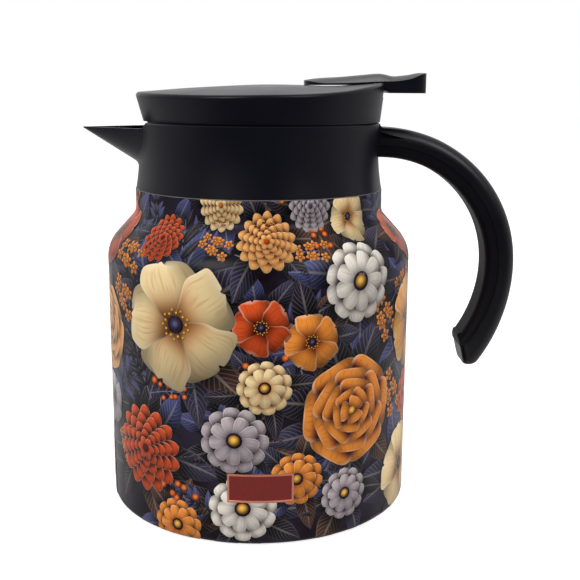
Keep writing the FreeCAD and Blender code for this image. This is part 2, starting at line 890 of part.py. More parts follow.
def lever():
    front = lever_front_x - 1
    tab_z = deck_z - tab_depth
    rear = pivot_x + web_back + slot_play
    top = deck_z + 6
    rim = lid_rear_x
    middle = (front + 2 * rear) / 3
    underside = ridge_z(rear) - lever_recess + lever_rear_gap
    side_view = slab([
        (front, ridge_z(front) - lever_recess + lever_front_gap),
        (middle, ridge_z(middle) - lever_recess + lever_front_gap), (rear, underside), (rear, tab_z + 0.9),
        (rim + 1.2, tab_z + 0.9), (rim + 2.4, tab_z), (lever_end_x + 1, tab_z, 1.0),
        (lever_end_x + 1, top), (front, top),
    ], lever_half_width)
    blade = side_view.common(lever_plan(0.0)).common(lever_crown())
    web = block(pivot_x - web_front, pivot_x + web_back, arm_half_width - 0.2, pivot_z, underside + 0.2)
    hub = cross_rod(hub_radius, pivot_x, pivot_z, arm_half_width)
    floor = lid_plate_top_z + arm_floor_gap
    arm = slab([
        (pivot_x, pivot_z + arm_height), (-fork_reach, floor + 1.0), (-fork_reach, floor),
        (stem_radius + 8, floor), (pivot_x, pivot_z - arm_height),
    ], arm_half_width)
    slot = block(-2 * fork_reach, stem_radius + 3, stem_radius + fork_clearance, floor - 1, deck_z)
    nose = cross_rod(fork_nose_radius, 0, fork_nose_z - fork_nose_radius, arm_half_width)
    relief = block(-cap_radius - 2, cap_radius + 2, arm_half_width + 1, floor + 1.0, deck_z)
    arm = arm.cut(relief).fuse(nose).cut(slot)
    solid = blade.fuse(web).fuse(hub).fuse(arm)
    solid = solid.cut(cross_rod(pin_radius + pin_running_fit, pivot_x, pivot_z, lever_half_width))
    return solid.removeSplitter()


NODES = {
    "outer_shell": outer_shell,
    "inner_flask": inner_flask,
    "bottom_plate": bottom_plate,
    "foot_pad": foot_pad,
    "getter": getter,
    "collar": collar,
    "collar_gasket": collar_gasket,
    "handle_shell": handle_shell,
    "handle_grip": handle_grip,
    "handle_screws": handle_screws,
    "lid_cover": lid_cover,
    "lid_plate": lid_plate,
    "lid_screws": lid_screws,
    "lever_pin": lever_pin,
    "stopper_cup": stopper_cup,
    "stopper_seal": stopper_seal,
    "plug_gasket": plug_gasket,
    "stem_oring": stem_oring,
    "valve_stem": valve_stem,
    "stem_cap": stem_cap,
    "valve_disc": valve_disc,
    "valve_seal": valve_seal,
    "valve_spring": valve_spring,
    "lever": lever,
}


def main():
    os.makedirs("parts", exist_ok=True)
    for name, make in NODES.items():
        shape = make()
        solids = shape.Solids
        print(name, "solids", len(solids), "valid", shape.isValid(), "volume", round(shape.Volume, 1))
        shape = solids[0] if len(solids) == 1 else Part.makeCompound(solids)
        shape.exportStep(os.path.join("parts", name + ".step"))


main()
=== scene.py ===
# %% [markdown]
# # A printed vacuum jug
# A one-litre steel jug with a black moulded collar, handle and lid, and an all-over flower print on
# the steel. The solids come from the imported CAD model, so this file makes only what solids can't
# show: the print, the label plate, a wire spring and the finish of every surface. The frame is loaded
# first.

import math
import random

import bpy
from mathutils import Matrix, Vector


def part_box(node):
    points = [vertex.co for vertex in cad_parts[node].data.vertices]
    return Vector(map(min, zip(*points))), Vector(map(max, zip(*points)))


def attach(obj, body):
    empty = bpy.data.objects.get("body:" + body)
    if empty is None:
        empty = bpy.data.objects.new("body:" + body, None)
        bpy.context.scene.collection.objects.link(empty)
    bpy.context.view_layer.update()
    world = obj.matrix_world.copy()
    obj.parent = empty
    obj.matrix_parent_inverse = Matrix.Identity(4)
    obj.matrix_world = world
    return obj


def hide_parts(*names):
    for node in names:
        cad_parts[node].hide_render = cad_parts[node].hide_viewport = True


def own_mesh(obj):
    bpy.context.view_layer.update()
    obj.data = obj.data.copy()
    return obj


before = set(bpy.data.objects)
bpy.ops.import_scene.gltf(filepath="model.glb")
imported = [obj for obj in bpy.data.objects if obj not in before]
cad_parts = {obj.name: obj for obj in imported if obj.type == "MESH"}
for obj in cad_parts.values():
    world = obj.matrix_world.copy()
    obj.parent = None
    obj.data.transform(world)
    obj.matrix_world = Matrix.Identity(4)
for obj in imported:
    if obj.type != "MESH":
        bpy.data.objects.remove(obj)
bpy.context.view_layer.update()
MM = 0.001

# %% [markdown]
# ## Helpers for colours and shader nodes
# A colour picked from a screen is sRGB, but shaders work with linear light, so one function turns a
# hex value into linear. A second sets or links the inputs of a node, and a third adds a node and
# hands its inputs to the second. Every material below is made with these.

# %% Colour and node helpers
def linear(hex_colour):
    """Linear RGBA from an sRGB hex value such as #f08a2c."""
    channels = [int(hex_colour[i:i + 2], 16) / 255 for i in (1, 3, 5)]
    return [c / 12.92 if c <= 0.04045 else ((c + 0.055) / 1.055) ** 2.4 for c in channels] + [1.0]


def wire(tree, node, **inputs):
    """Set a node's inputs: a value, a socket to link, or a node whose first live output is linked."""
    for name, value in inputs.items():
        socket = node.inputs[int(name[1:]) if name[1:].isdigit() else name.replace("_", " ")]
        if isinstance(value, bpy.types.Node):
            value = next(output for output in value.outputs if output.enabled)
        if isinstance(value, bpy.types.NodeSocket):
            tree.links.new(value, socket)
        else:
            socket.default_value = value


def add_node(tree, kind, settings=None, **inputs):
    """Add a node with its settings and inputs. An input goes by name, with _ for a space, or as i2."""
    node = tree.nodes.new(kind)
    for name, value in (settings or {}).items():
        setattr(node, name, value)
    wire(tree, node, **inputs)
    return node


def new_material(name):
    """A material with its node tree and its principled shader."""
    material = bpy.data.materials.new(name)
    material.use_nodes = True
    return material, material.node_tree, material.node_tree.nodes["Principled BSDF"]


def dress(node_names, material):
    """Give CAD nodes one material."""
    for name in node_names:
        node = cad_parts[name]
        node.data.materials.clear()
        node.data.materials.append(material)
    print(material.name, "on", ", ".join(node_names))


# %% [markdown]
# ## Moulded black polypropylene
# The collar, spout, handle, lid and lever are injection-moulded polypropylene, almost black with a
# trace of blue. The mould was spark-eroded, which leaves a fine even grain: it breaks reflections up
# into a satin sheen and swallows part of the light that falls straight on, while a surface seen
# edge-on still mirrors the room. That is why the specular level is low and the roughness middling.
# The real grain is under 0.1 mm and would vanish at this distance, so it is drawn about five times
# coarser and kept shallow. A slower noise varies the gloss a little, as handling does. The inner half
# of the handle, where the fingers close, is duller than the outer half.

# %% Moulded black polypropylene
GRAIN_MM = 0.5
HANDLING_MM = 22.0


def moulded_plastic(name, colour, roughness, mirror):
    """Plastic with mould grain. colour holds its darkest and lightest tone."""
    material, tree, shader = new_material(name)
    place = add_node(tree, "ShaderNodeTexCoord").outputs["Object"]
    grain = add_node(tree, "ShaderNodeTexNoise", Vector=place, Scale=1 / (GRAIN_MM * MM), Detail=2.0)
    bump = add_node(tree, "ShaderNodeBump", Strength=0.12, Distance=0.05 * MM, Height=grain)
    handling = add_node(tree, "ShaderNodeTexNoise", Vector=place, Scale=1 / (HANDLING_MM * MM), Detail=3.0)
    gloss = add_node(tree, "ShaderNodeMapRange", Value=handling, From_Min=0.3, From_Max=0.7,
                     To_Min=roughness - 0.04, To_Max=roughness + 0.05)
    tone = add_node(tree, "ShaderNodeMix", {"data_type": "RGBA"}, i0=handling, i6=linear(colour[0]),
                    i7=linear(colour[1]))
    wire(tree, shader, Base_Color=tone, Roughness=gloss, Normal=bump, IOR=1.49, Specular_IOR_Level=mirror)
    return material


outer_plastic = moulded_plastic("Polypropylene, spark-eroded mould", ("#0a0a12", "#0e0e17"), 0.34, 0.14)
handle_plastic = moulded_plastic("Polypropylene, polished mould", ("#040308", "#06050b"), 0.36, 0.26)
grip_plastic = moulded_plastic("Polypropylene, matt grip", ("#040308", "#06050b"), 0.55, 0.10)
stopper_plastic = moulded_plastic("Polypropylene, stopper", ("#141417", "#1a1a1e"), 0.50, 0.30)
dress(["collar", "lid_cover", "lever"], outer_plastic)
dress(["handle_shell"], handle_plastic)
dress(["handle_grip"], grip_plastic)
dress(["lid_plate", "stopper_cup", "valve_stem", "stem_cap", "valve_disc"], stopper_plastic)

# %% [markdown]
# ## Stainless steel and silicone
# The flask inside is electropolished stainless steel, spun on a lathe, so faint rings run round it.
# The screws, pin and spring are bright drawn wire. The seals are pale translucent silicone, and the
# foot is black silicone with a dusty matt skin. Steel is a metal, so its colour tints the reflection,
# while silicone lets a little light in and scatters it.

# %% Steel and silicone
SPIN_RING_MM = 0.8
SKIN_MM = 1.5
RING_STRETCH = (0.02, 0.02, 1.0)
SCATTER_DEPTH = (0.002, 0.002, 0.002)


def spun_steel(name, colour, roughness):
    """Bare metal with faint rings round the upright axis."""
    material, tree, shader = new_material(name)
    place = add_node(tree, "ShaderNodeTexCoord").outputs["Object"]
    squeeze = add_node(tree, "ShaderNodeVectorMath", {"operation": "MULTIPLY"}, i0=place,
                       i1=RING_STRETCH)
    rings = add_node(tree, "ShaderNodeTexNoise", Vector=squeeze, Scale=1 / (SPIN_RING_MM * MM), Detail=2.0)
    gloss = add_node(tree, "ShaderNodeMapRange", Value=rings, To_Min=roughness - 0.08,
                     To_Max=roughness + 0.08)
    wire(tree, shader, Base_Color=linear(colour), Roughness=gloss, Metallic=1.0)
    return material


def silicone(name, colour, roughness, soft):
    """Rubbery skin. soft is the share of light that scatters inside."""
    material, tree, shader = new_material(name)
    place = add_node(tree, "ShaderNodeTexCoord").outputs["Object"]
    skin = add_node(tree, "ShaderNodeTexNoise", Vector=place, Scale=1 / (SKIN_MM * MM), Detail=3.0)
    gloss = add_node(tree, "ShaderNodeMapRange", Value=skin, To_Min=roughness - 0.06,
                     To_Max=roughness + 0.08)
    wire(tree, shader, Base_Color=linear(colour), Roughness=gloss, IOR=1.41, Subsurface_Weight=soft,
         Subsurface_Radius=SCATTER_DEPTH)
    return material


dress(["inner_flask", "bottom_plate"], spun_steel("Stainless steel, electropolished", "#c9c9c7", 0.26))
drawn_steel = spun_steel("Stainless steel, bright drawn", "#c4c3c2", 0.20)
dress(["handle_screws", "lid_screws", "lever_pin", "valve_spring"], drawn_steel)
dress(["getter"], spun_steel("Getter alloy, sintered", "#8a8a8c", 0.55))
dress(["collar_gasket", "stopper_seal", "plug_gasket", "stem_oring", "valve_seal"],
      silicone("Silicone, clear moulded", "#dcd9d0", 0.40, 0.3))
dress(["foot_pad"], silicone("Silicone, black moulded", "#17171a", 0.70, 0.0))

# %% [markdown]
# ## The valve spring
# A coil of drawn wire between the valve disc and the lid plate shuts the valve, and it is squeezed
# when the valve rises. The CAD coil is rigid and would cut through the disc there. A round wire is
# wound in its place, to the CAD coil's own size; it is attached to the lid and the CAD coil is hidden.

# %% Valve spring
SPRING_WIRE_MM = 1.0
SPRING_TURNS = 5
STEPS_PER_TURN = 32
WIRE_SIDES = 10

spring_low, spring_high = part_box("valve_spring")
wire_radius = 0.5 * SPRING_WIRE_MM * MM
coil_radius = spring_high.x - wire_radius
coil_rise = spring_high.z - spring_low.z - 2 * wire_radius
coil_steps = SPRING_TURNS * STEPS_PER_TURN
coil_points = []
coil_faces = []
for i in range(coil_steps + 1):
    turn = 2 * math.pi * i / STEPS_PER_TURN
    height = spring_low.z + wire_radius + coil_rise * i / coil_steps
    for k in range(WIRE_SIDES):
        angle = 2 * math.pi * k / WIRE_SIDES
        radius = coil_radius + wire_radius * math.cos(angle)
        coil_points.append((radius * math.cos(turn), radius * math.sin(turn),
                            height + wire_radius * math.sin(angle)))
for i in range(coil_steps):
    for k in range(WIRE_SIDES):
        a = i * WIRE_SIDES + k
        b = i * WIRE_SIDES + (k + 1) % WIRE_SIDES
        coil_faces.append((a, a + WIRE_SIDES, b + WIRE_SIDES, b))
coil_faces.append(tuple(range(WIRE_SIDES)))
coil_faces.append(tuple(reversed(range(coil_steps * WIRE_SIDES, len(coil_points)))))
coil_mesh = bpy.data.meshes.new("valve_spring_coil")
coil_mesh.from_pydata(coil_points, [], coil_faces)
coil_mesh.polygons.foreach_set("use_smooth", [len(face) == 4 for face in coil_faces])
coil_mesh.materials.append(drawn_steel)
coil = bpy.data.objects.new("valve_spring_coil", coil_mesh)
bpy.context.collection.objects.link(coil)
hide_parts("valve_spring")
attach(coil, "lid")
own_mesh(coil)

# %% [markdown]
# ## The printed wall, unrolled
# The outer wall is stainless steel wrapped in a printed, heat-shrunk film with a semi-gloss face.
# The print could be a picture, but a drawn print stays sharp at any distance. Each petal and leaf is
# a thin patch that lies on the wall, a few hundredths of a millimetre above the one below it. To
# place a patch, the wall is unrolled: `along` runs round the jug from the front towards the handle,
# and `up` runs up the wall, over the shoulder and to the neck. Both are millimetres on the steel.

# %% The unrolled wall
BODY_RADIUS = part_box("outer_shell")[1][0] / MM
NECK_RADIUS = 48.6
WALL_LOW_Z = 3.0
WALL_TOP_Z = 99.0
HEEL_ROUND = 2.5
SHOULDER_LEAN = math.radians(42.0)
SHOULDER_ROUND = 13.0
NECK_ROUND = 5.0
PRINT_TOP_Z = 125.6
HEEL_ANGLES = range(-60, 1, 10)
SHOULDER_STEPS = 14
NECK_STEPS = 10
ROUND_THE_JUG = 2 * math.pi * BODY_RADIUS


def wall_stations():
    """Points of the wall's outline from heel to neck: distance up the wall, radius, height, lean."""
    stations = []
    for angle in HEEL_ANGLES:
        turn = math.radians(angle)
        stations.append((HEEL_ROUND * turn, BODY_RADIUS - HEEL_ROUND * (1 - math.cos(turn)),
                         WALL_LOW_Z + HEEL_ROUND * math.sin(turn), turn))
    up = WALL_TOP_Z - WALL_LOW_Z
    stations.append((up, BODY_RADIUS, WALL_TOP_Z, 0.0))
    for i in range(1, SHOULDER_STEPS + 1):
        turn = SHOULDER_LEAN * i / SHOULDER_STEPS
        stations.append((up + SHOULDER_ROUND * turn, BODY_RADIUS - SHOULDER_ROUND * (1 - math.cos(turn)),
                         WALL_TOP_Z + SHOULDER_ROUND * math.sin(turn), turn))
    up, radius, z, lean = stations[-1]
    run = (radius - NECK_RADIUS - NECK_ROUND * (1 - math.cos(lean))) / math.sin(lean)
    slope_end = (up + run, radius - run * math.sin(lean), z + run * math.cos(lean))
    for i in range(NECK_STEPS + 1):
        turn = SHOULDER_LEAN * (1 - i / NECK_STEPS)
        drop = NECK_ROUND * (math.cos(turn) - math.cos(SHOULDER_LEAN))
        rise = NECK_ROUND * (math.sin(SHOULDER_LEAN) - math.sin(turn))
        stations.append((slope_end[0] + NECK_ROUND * (SHOULDER_LEAN - turn), slope_end[1] - drop,
                         slope_end[2] + rise, turn))
    up, radius, z, lean = stations[-1]
    stations.append((up + PRINT_TOP_Z - z, radius, PRINT_TOP_Z, 0.0))
    return stations


WALL = wall_stations()
UP_LOW = WALL[0][0]
UP_HIGH = WALL[-1][0]


def on_wall(along, up, lift=0.0):
    """A point of the wall in metres, lifted off it by a few hundredths of a millimetre."""
    up = min(max(up, UP_LOW), UP_HIGH)
    index = 1
    while WALL[index][0] < up and index < len(WALL) - 1:
        index += 1
    low, high = WALL[index - 1], WALL[index]
    share = (up - low[0]) / (high[0] - low[0])
    radius, z, lean = (low[k] + (high[k] - low[k]) * share for k in (1, 2, 3))
    radius += lift * math.cos(lean)
    z += lift * math.sin(lean)
    turn = along / BODY_RADIUS
    return Vector((radius * math.sin(turn), -radius * math.cos(turn), z)) * MM


print("Wall unrolls to", round(ROUND_THE_JUG), "by", round(UP_HIGH - UP_LOW), "mm")

# %% [markdown]
# ## A sheet of printed patches
# Patches of one kind go into one mesh. Each vertex stores where it lies on its petal (from base to
# tip, from edge to edge, and a number for that petal), the petal's two colours, and how much light
# the painter gave it. The shader reads those values, so one ink paints every petal. The painted
# light comes from the upper left: a petal is treated as a small cupped form, and the side that leans
# towards that light is brighter.

# %% Sheets and painted light
PAINTED_SUN = Vector((-0.42, 0.62, 0.66))
PAINTED_SHADE = 0.20
PAINTED_STRENGTH = 0.84


class Sheet:
    """Patches that become one printed piece."""

    def __init__(self):
        self.points = []
        self.faces = []
        self.places = []
        self.inner = []
        self.outer = []
        self.light = []

    def add(self, along, up, lift, place, colours, light):
        self.points.append(on_wall(along, up, lift))
        self.places.append(place)
        self.inner.append(colours[0])
        self.outer.append(colours[1])
        self.light.append(light)

    def grid(self, start, rows, columns):
        for r in range(rows - 1):
            for c in range(columns - 1):
                a = start + r * columns + c
                self.faces.append((a, a + 1, a + columns + 1, a + columns))


def smooth(t):
    """Smooth step from 0 to 1."""
    t = min(max(t, 0.0), 1.0)
    return t * t * (3 - 2 * t)


def painted_light(turn, tip_lean, side_lean):
    """Brightness of a surface that leans towards its petal's tip and to its side."""
    facing = Vector((math.cos(turn) * tip_lean - math.sin(turn) * side_lean,
                     math.sin(turn) * tip_lean + math.cos(turn) * side_lean, 1.0)).normalized()
    return PAINTED_SHADE + PAINTED_STRENGTH * max(facing.dot(PAINTED_SUN), 0.0)


# %% [markdown]
# ## Petals, dots and stalks
# Three patch shapes draw the whole print. A petal swells from its base and closes at its tip by two
# powers, so round and pointed petals and leaves are the same function. It is dark at its base, where
# the ring above shades it, and along one edge, where its neighbour lies over it. Its faces are small,
# because flat faces on a round wall sink in the middle, and a large one would cut the patch below. On
# the shoulder, the neck and the heel, which are rounded both ways, they are smaller still.

# %% Patch shapes
LAYER = 0.02
TILT = 0.45 * LAYER
CELL_MM = 1.1
SHOULDER_CELL_MM = 0.7
HEEL_CELL_MM = 0.4
ANY_TURN = 6.28


def petal(sheet, root, turn, size, shape, colours, lift, bend=0.0, ruffle=0.0, hidden=0.0, cup=0.55,
          dome=0.40, tuck=0.0):
    """One petal or leaf. shape holds the powers of its base and tip; hidden is the covered share."""
    seed = random.random()
    phase = random.uniform(0, ANY_TURN)
    length, width = size
    base_power, tip_power = shape
    peak = base_power / (base_power + tip_power)
    top = peak ** base_power * (1 - peak) ** tip_power
    cell = CELL_MM if root[1] + length < WALL_TOP_Z - WALL_LOW_Z else SHOULDER_CELL_MM
    cell = cell if root[1] > length else HEEL_CELL_MM
    rows = max(math.ceil(length / cell), 5) + 1
    columns = max(math.ceil(width / cell), 4) + 1
    start = len(sheet.points)
    for r in range(rows):
        u = 0.5 - 0.5 * math.cos(math.pi * r / (rows - 1))
        swell = max(u, 1e-4) ** base_power * max(1 - u, 1e-4) ** tip_power / top
        half = 0.5 * width * max(swell * (1 + ruffle * math.sin(11 * u + phase)), 0.01)
        shown = max(u - hidden, 0.0) / (1 - hidden)
        for c in range(columns):
            v = 2 * c / (columns - 1) - 1
            x = length * u * (1 + 0.5 * ruffle * math.sin(6 * v + phase) * u)
            y = bend * length * u * u + half * v
            along = root[0] + x * math.cos(turn) - y * math.sin(turn)
            up = root[1] + x * math.sin(turn) + y * math.cos(turn)
            light = painted_light(turn, cup * (2 * shown - 0.9), dome * v)
            light *= (0.20 + 0.80 * smooth(shown / 0.5)) * (1 - tuck * smooth(-v))
            sheet.add(along, up, lift + TILT * v, (shown, v, seed), colours, min(light, 1.0))
    sheet.grid(start, rows, columns)


def spot(sheet, centre, radius, colours, lift, sides=12):
    """A round dot lit from the upper left: flower centres, seeds and berries."""
    seed = random.random()
    start = len(sheet.points)
    sheet.add(centre[0], centre[1], lift, (0.9, 0.0, seed), colours, 0.95)
    for share in (0.55, 1.0):
        for k in range(sides):
            turn = 2 * math.pi * k / sides
            x = radius * share * math.cos(turn)
            y = radius * share * math.sin(turn)
            sheet.add(centre[0] + x, centre[1] + y, lift, (1.0 - 0.9 * share, 0.0, seed), colours,
                      painted_light(turn, 1.1 * share, 0.0))
    for k in range(sides):
        near = start + 1 + k
        after = start + 1 + (k + 1) % sides
        sheet.faces.append((start, near, after))
        sheet.faces.append((near, near + sides, after + sides, after))


def stalk(sheet, path, width, colours, lift):
    """A thin stem through unrolled points."""
    seed = random.random()
    start = len(sheet.points)
    last = len(path) - 1
    for i, (x, y) in enumerate(path):
        before = path[max(i - 1, 0)]
        after = path[min(i + 1, last)]
        heading = math.atan2(after[1] - before[1], after[0] - before[0])
        half = 0.5 * width * (1 - 0.6 * i / last)
        for v in (-1, 1):
            sheet.add(x - v * half * math.sin(heading), y + v * half * math.cos(heading), lift,
                      (0.7, 0.5, seed), colours, 0.8 + 0.2 * v)
    sheet.grid(start, len(path), 2)


# %% [markdown]
# ## Colours of the print
# The palette is a garden at dusk: slate-violet leaves on a near-black ground, with cream, orange,
# brick-red and pale grey blooms. Each petal runs from a deep colour at its base to a light one at
# its tip.

# %% Palette
def pair(inner, outer):
    """A petal's colours at its base and at its tip."""
    return linear(inner), linear(outer)


CREAM = pair("#c06a1c", "#f8dda6")
APRICOT = pair("#a8430f", "#f4b468")
ORANGE = pair("#861d07", "#f0943c")
SCARLET = pair("#560f07", "#dc5526")
PALE = pair("#7a6d70", "#f1e9dd")
LILAC = pair("#4d4557", "#bdb0b4")
LEAVES = (pair("#0d0a13", "#272232"), pair("#14121f", "#37344c"), pair("#171833", "#434877"),
          pair("#1d1317", "#50332a"))
STEM = pair("#322f4c", "#5d5a80")
SEED_DARK = pair("#120b14", "#43364a")
SEED_GOLD = pair("#8a4a10", "#f0bf55")
BERRY = pair("#8f2f0e", "#ee7a35")

# %% [markdown]
# ## Flowers
# Five kinds of flower are each a short recipe: a dahlia of pointed petals in rings, a camellia of
# round ones, a mallow with five broad ruffled petals, a daisy and a small star flower. Inner rings
# lie above outer rings, and each ring knows how much of it the next one hides.

# %% Flower recipes
def ringed(sheet, centre, radius, colours, lift, turn, rings, shape, tuck, cup=0.55, dome=0.40):
    """Rings of petals from the outside in. A ring is its reach, its count and its petals' width."""
    reaches = [ring[0] for ring in rings[1:]] + [0.0]
    for level, (reach, count, width) in enumerate(rings):
        hidden = max(reaches[level] / reach - 0.12, 0.0)
        for k in range(count):
            angle = turn + 2 * math.pi * (k + 0.5 * (level % 2)) / count
            petal(sheet, centre, angle, (radius * reach, radius * width), shape, colours,
                  lift + LAYER * level, bend=0.04, hidden=hidden, cup=cup, dome=dome, tuck=tuck)


def dahlia(sheets, centre, radius, colours, lift, turn):
    rings = ((1.0, 14, 0.40), (0.80, 12, 0.36), (0.61, 10, 0.31), (0.43, 8, 0.25), (0.27, 6, 0.19))
    ringed(sheets["bloom"], centre, radius, colours, lift, turn, rings, (0.9, 0.50), 0.35)
    spot(sheets["bloom"], centre, 0.10 * radius, (colours[0], colours[0]), lift + LAYER * len(rings))


def camellia(sheets, centre, radius, colours, lift, turn):
    rings = ((1.0, 6, 1.05), (0.80, 6, 0.86), (0.60, 5, 0.72), (0.42, 5, 0.50), (0.26, 3, 0.40))
    ringed(sheets["bloom"], centre, radius, colours, lift, turn, rings, (0.75, 0.26), 0.60, cup=0.1,
           dome=0.3)
    spot(sheets["bloom"], centre, 0.09 * radius, SEED_GOLD, lift + LAYER * len(rings))


def mallow(sheets, centre, radius, colours, lift, turn):
    for k in range(5):
        angle = turn + 2 * math.pi * k / 5
        petal(sheets["bloom"], centre, angle, (radius, 1.14 * radius), (0.75, 0.24), colours, lift,
              bend=0.10, ruffle=0.07, cup=0.7, tuck=0.6)
    spot(sheets["bloom"], centre, 0.15 * radius, SEED_DARK, lift + LAYER, sides=16)
    for k in range(18):
        angle = 2 * math.pi * k / 18 + turn
        reach = radius * (0.20 + 0.05 * (k % 2))
        place = (centre[0] + reach * math.cos(angle), centre[1] + reach * math.sin(angle))
        stalk(sheets["bloom"], [centre, place], 0.02 * radius, SEED_DARK, lift + LAYER)
        spot(sheets["bloom"], place, 0.030 * radius, SEED_GOLD, lift + 2 * LAYER, sides=8)
    spot(sheets["bloom"], centre, 0.08 * radius, STEM, lift + 2 * LAYER)


def daisy(sheets, centre, radius, colours, lift, turn):
    rings = ((1.0, 11, 0.52), (0.74, 9, 0.42))
    ringed(sheets["bloom"], centre, radius, colours, lift, turn, rings, (0.8, 0.30), 0.55)
    spot(sheets["bloom"], centre, 0.24 * radius, SEED_DARK, lift + 2 * LAYER, sides=16)
    spot(sheets["bloom"], centre, 0.17 * radius, SEED_GOLD, lift + 3 * LAYER, sides=16)


def star_flower(sheets, centre, radius, lift):
    turn = random.uniform(0, ANY_TURN)
    for k in range(5):
        petal(sheets["bloom"], centre, turn + 2 * math.pi * k / 5, (radius, 0.6 * radius), (0.8, 0.6),
              ORANGE, lift)
    spot(sheets["bloom"], centre, 0.24 * radius, SEED_GOLD, lift + LAYER, sides=8)


def berry(sheets, centre, radius, lift):
    spot(sheets["bloom"], centre, 0.6 * radius, BERRY, lift, sides=10)


# %% [markdown]
# ## Leaves and sprigs
# Leaf sprays fan out behind the blooms, and sprigs carry pairs of small leaves, berries or star
# flowers. A leaf is a petal with a sharper tip and a stronger fold. It counts the part under its bloom
# as hidden, so it is darkest at the bloom's edge, as if the bloom threw a shadow.

# %% Leaf recipes
SPRIG_PAIRS = 4
SPRIG_STEPS = 8
LEAF_LIFT = 0.04
FRUIT_LIFT = LEAF_LIFT + 5.5 * LAYER
BLOOM_LIFT = FRUIT_LIFT + 1.5 * LAYER


def leaf(sheets, root, turn, length, colours, lift, bend, plump, hidden=0.0):
    petal(sheets["leaf"], root, turn, (length, plump * length), (0.72, 0.90), colours, lift, bend=bend,
          ruffle=0.05, hidden=hidden, cup=0.25, dome=0.75)


def sprig(sheets, root, turn, length, colours, lift, bend, fruit):
    """A curved stem with leaves set in pairs along it, or with fruit on short stalks."""
    path = []
    for i in range(SPRIG_STEPS + 1):
        u = i / SPRIG_STEPS
        y = bend * length * u * u
        path.append((root[0] + length * u * math.cos(turn) - y * math.sin(turn),
                     root[1] + length * u * math.sin(turn) + y * math.cos(turn)))
    stalk(sheets["leaf"], path, 0.03 * length, STEM, lift)
    for k in range(SPRIG_PAIRS):
        u = 0.22 + 0.70 * k / (SPRIG_PAIRS - 1)
        place = path[round(u * SPRIG_STEPS)]
        for side in (-1, 1):
            angle = turn + math.atan(2 * bend * u) + side * (0.85 - 0.25 * u)
            if fruit:
                reach = (0.24 - 0.08 * u) * length
                tip = (place[0] + reach * math.cos(angle), place[1] + reach * math.sin(angle))
                stalk(sheets["leaf"], [place, tip], 0.02 * length, STEM, lift)
                fruit(sheets, tip, 0.12 * length, FRUIT_LIFT)
            else:
                leaf(sheets, place, angle, length * (0.50 - 0.18 * u), colours, lift + LAYER,
                     0.12 * side, 0.36)


# %% [markdown]
# ## Laying out the print
# The film repeats twice round the jug, once for the front and once for the back. Large blooms are
# placed one by one so that no two of one colour touch. Smaller ones are thrown at random and kept only
# where they find room, which is how a designer fills the gaps of a repeat. The random numbers start
# from a fixed seed, so the print is the same on every run. Each piece of the print is one upright
# quarter of the film, so that a quarter gets a picture of its own if the materials are baked.

# %% Lay out one repeat
REPEAT = ROUND_THE_JUG / 2
QUARTERS = 4
PRINT_SEED = 20
SPRIGS = 60
MEDIUM_BLOOMS = 14
MEDIUM_RADII = (9.5, 8.5, 7.5, 6.5)

LARGE = (
    (camellia, 36, 46, 20.0, ORANGE),
    (mallow, -31, 79, 22.0, CREAM),
    (daisy, 39, 94, 15.0, PALE),
    (dahlia, -47, 29, 17.0, SCARLET),
    (mallow, 80, 73, 19.0, APRICOT),
    (camellia, -78, 70, 17.0, APRICOT),
    (daisy, -9, 38, 12.5, LILAC),
    (mallow, 72, 14, 17.0, CREAM),
    (dahlia, 3, 111, 12.0, APRICOT),
    (daisy, -6, 12, 12.5, PALE),
    (mallow, -80, 108, 14.0, SCARLET),
)


def gap_to(taken, along, up):
    """Room between a place and the blooms already laid, on a sheet that joins end to end."""
    room = 1e9
    for x, y, radius in taken:
        across = abs(along - x) % REPEAT
        room = min(room, math.hypot(min(across, REPEAT - across), up - y) - radius)
    return room


def scatter(taken, count, radii, tries=3000):
    """Random places with room for a bloom of one of the radii, largest first."""
    found = []
    for radius in radii:
        for _ in range(tries):
            along = random.uniform(-REPEAT / 2, REPEAT / 2)
            up = random.uniform(2, UP_HIGH - 1)
            if len(found) < count and gap_to(taken, along, up) > radius:
                taken.append((along, up, radius))
                found.append((along, up, radius))
    return found


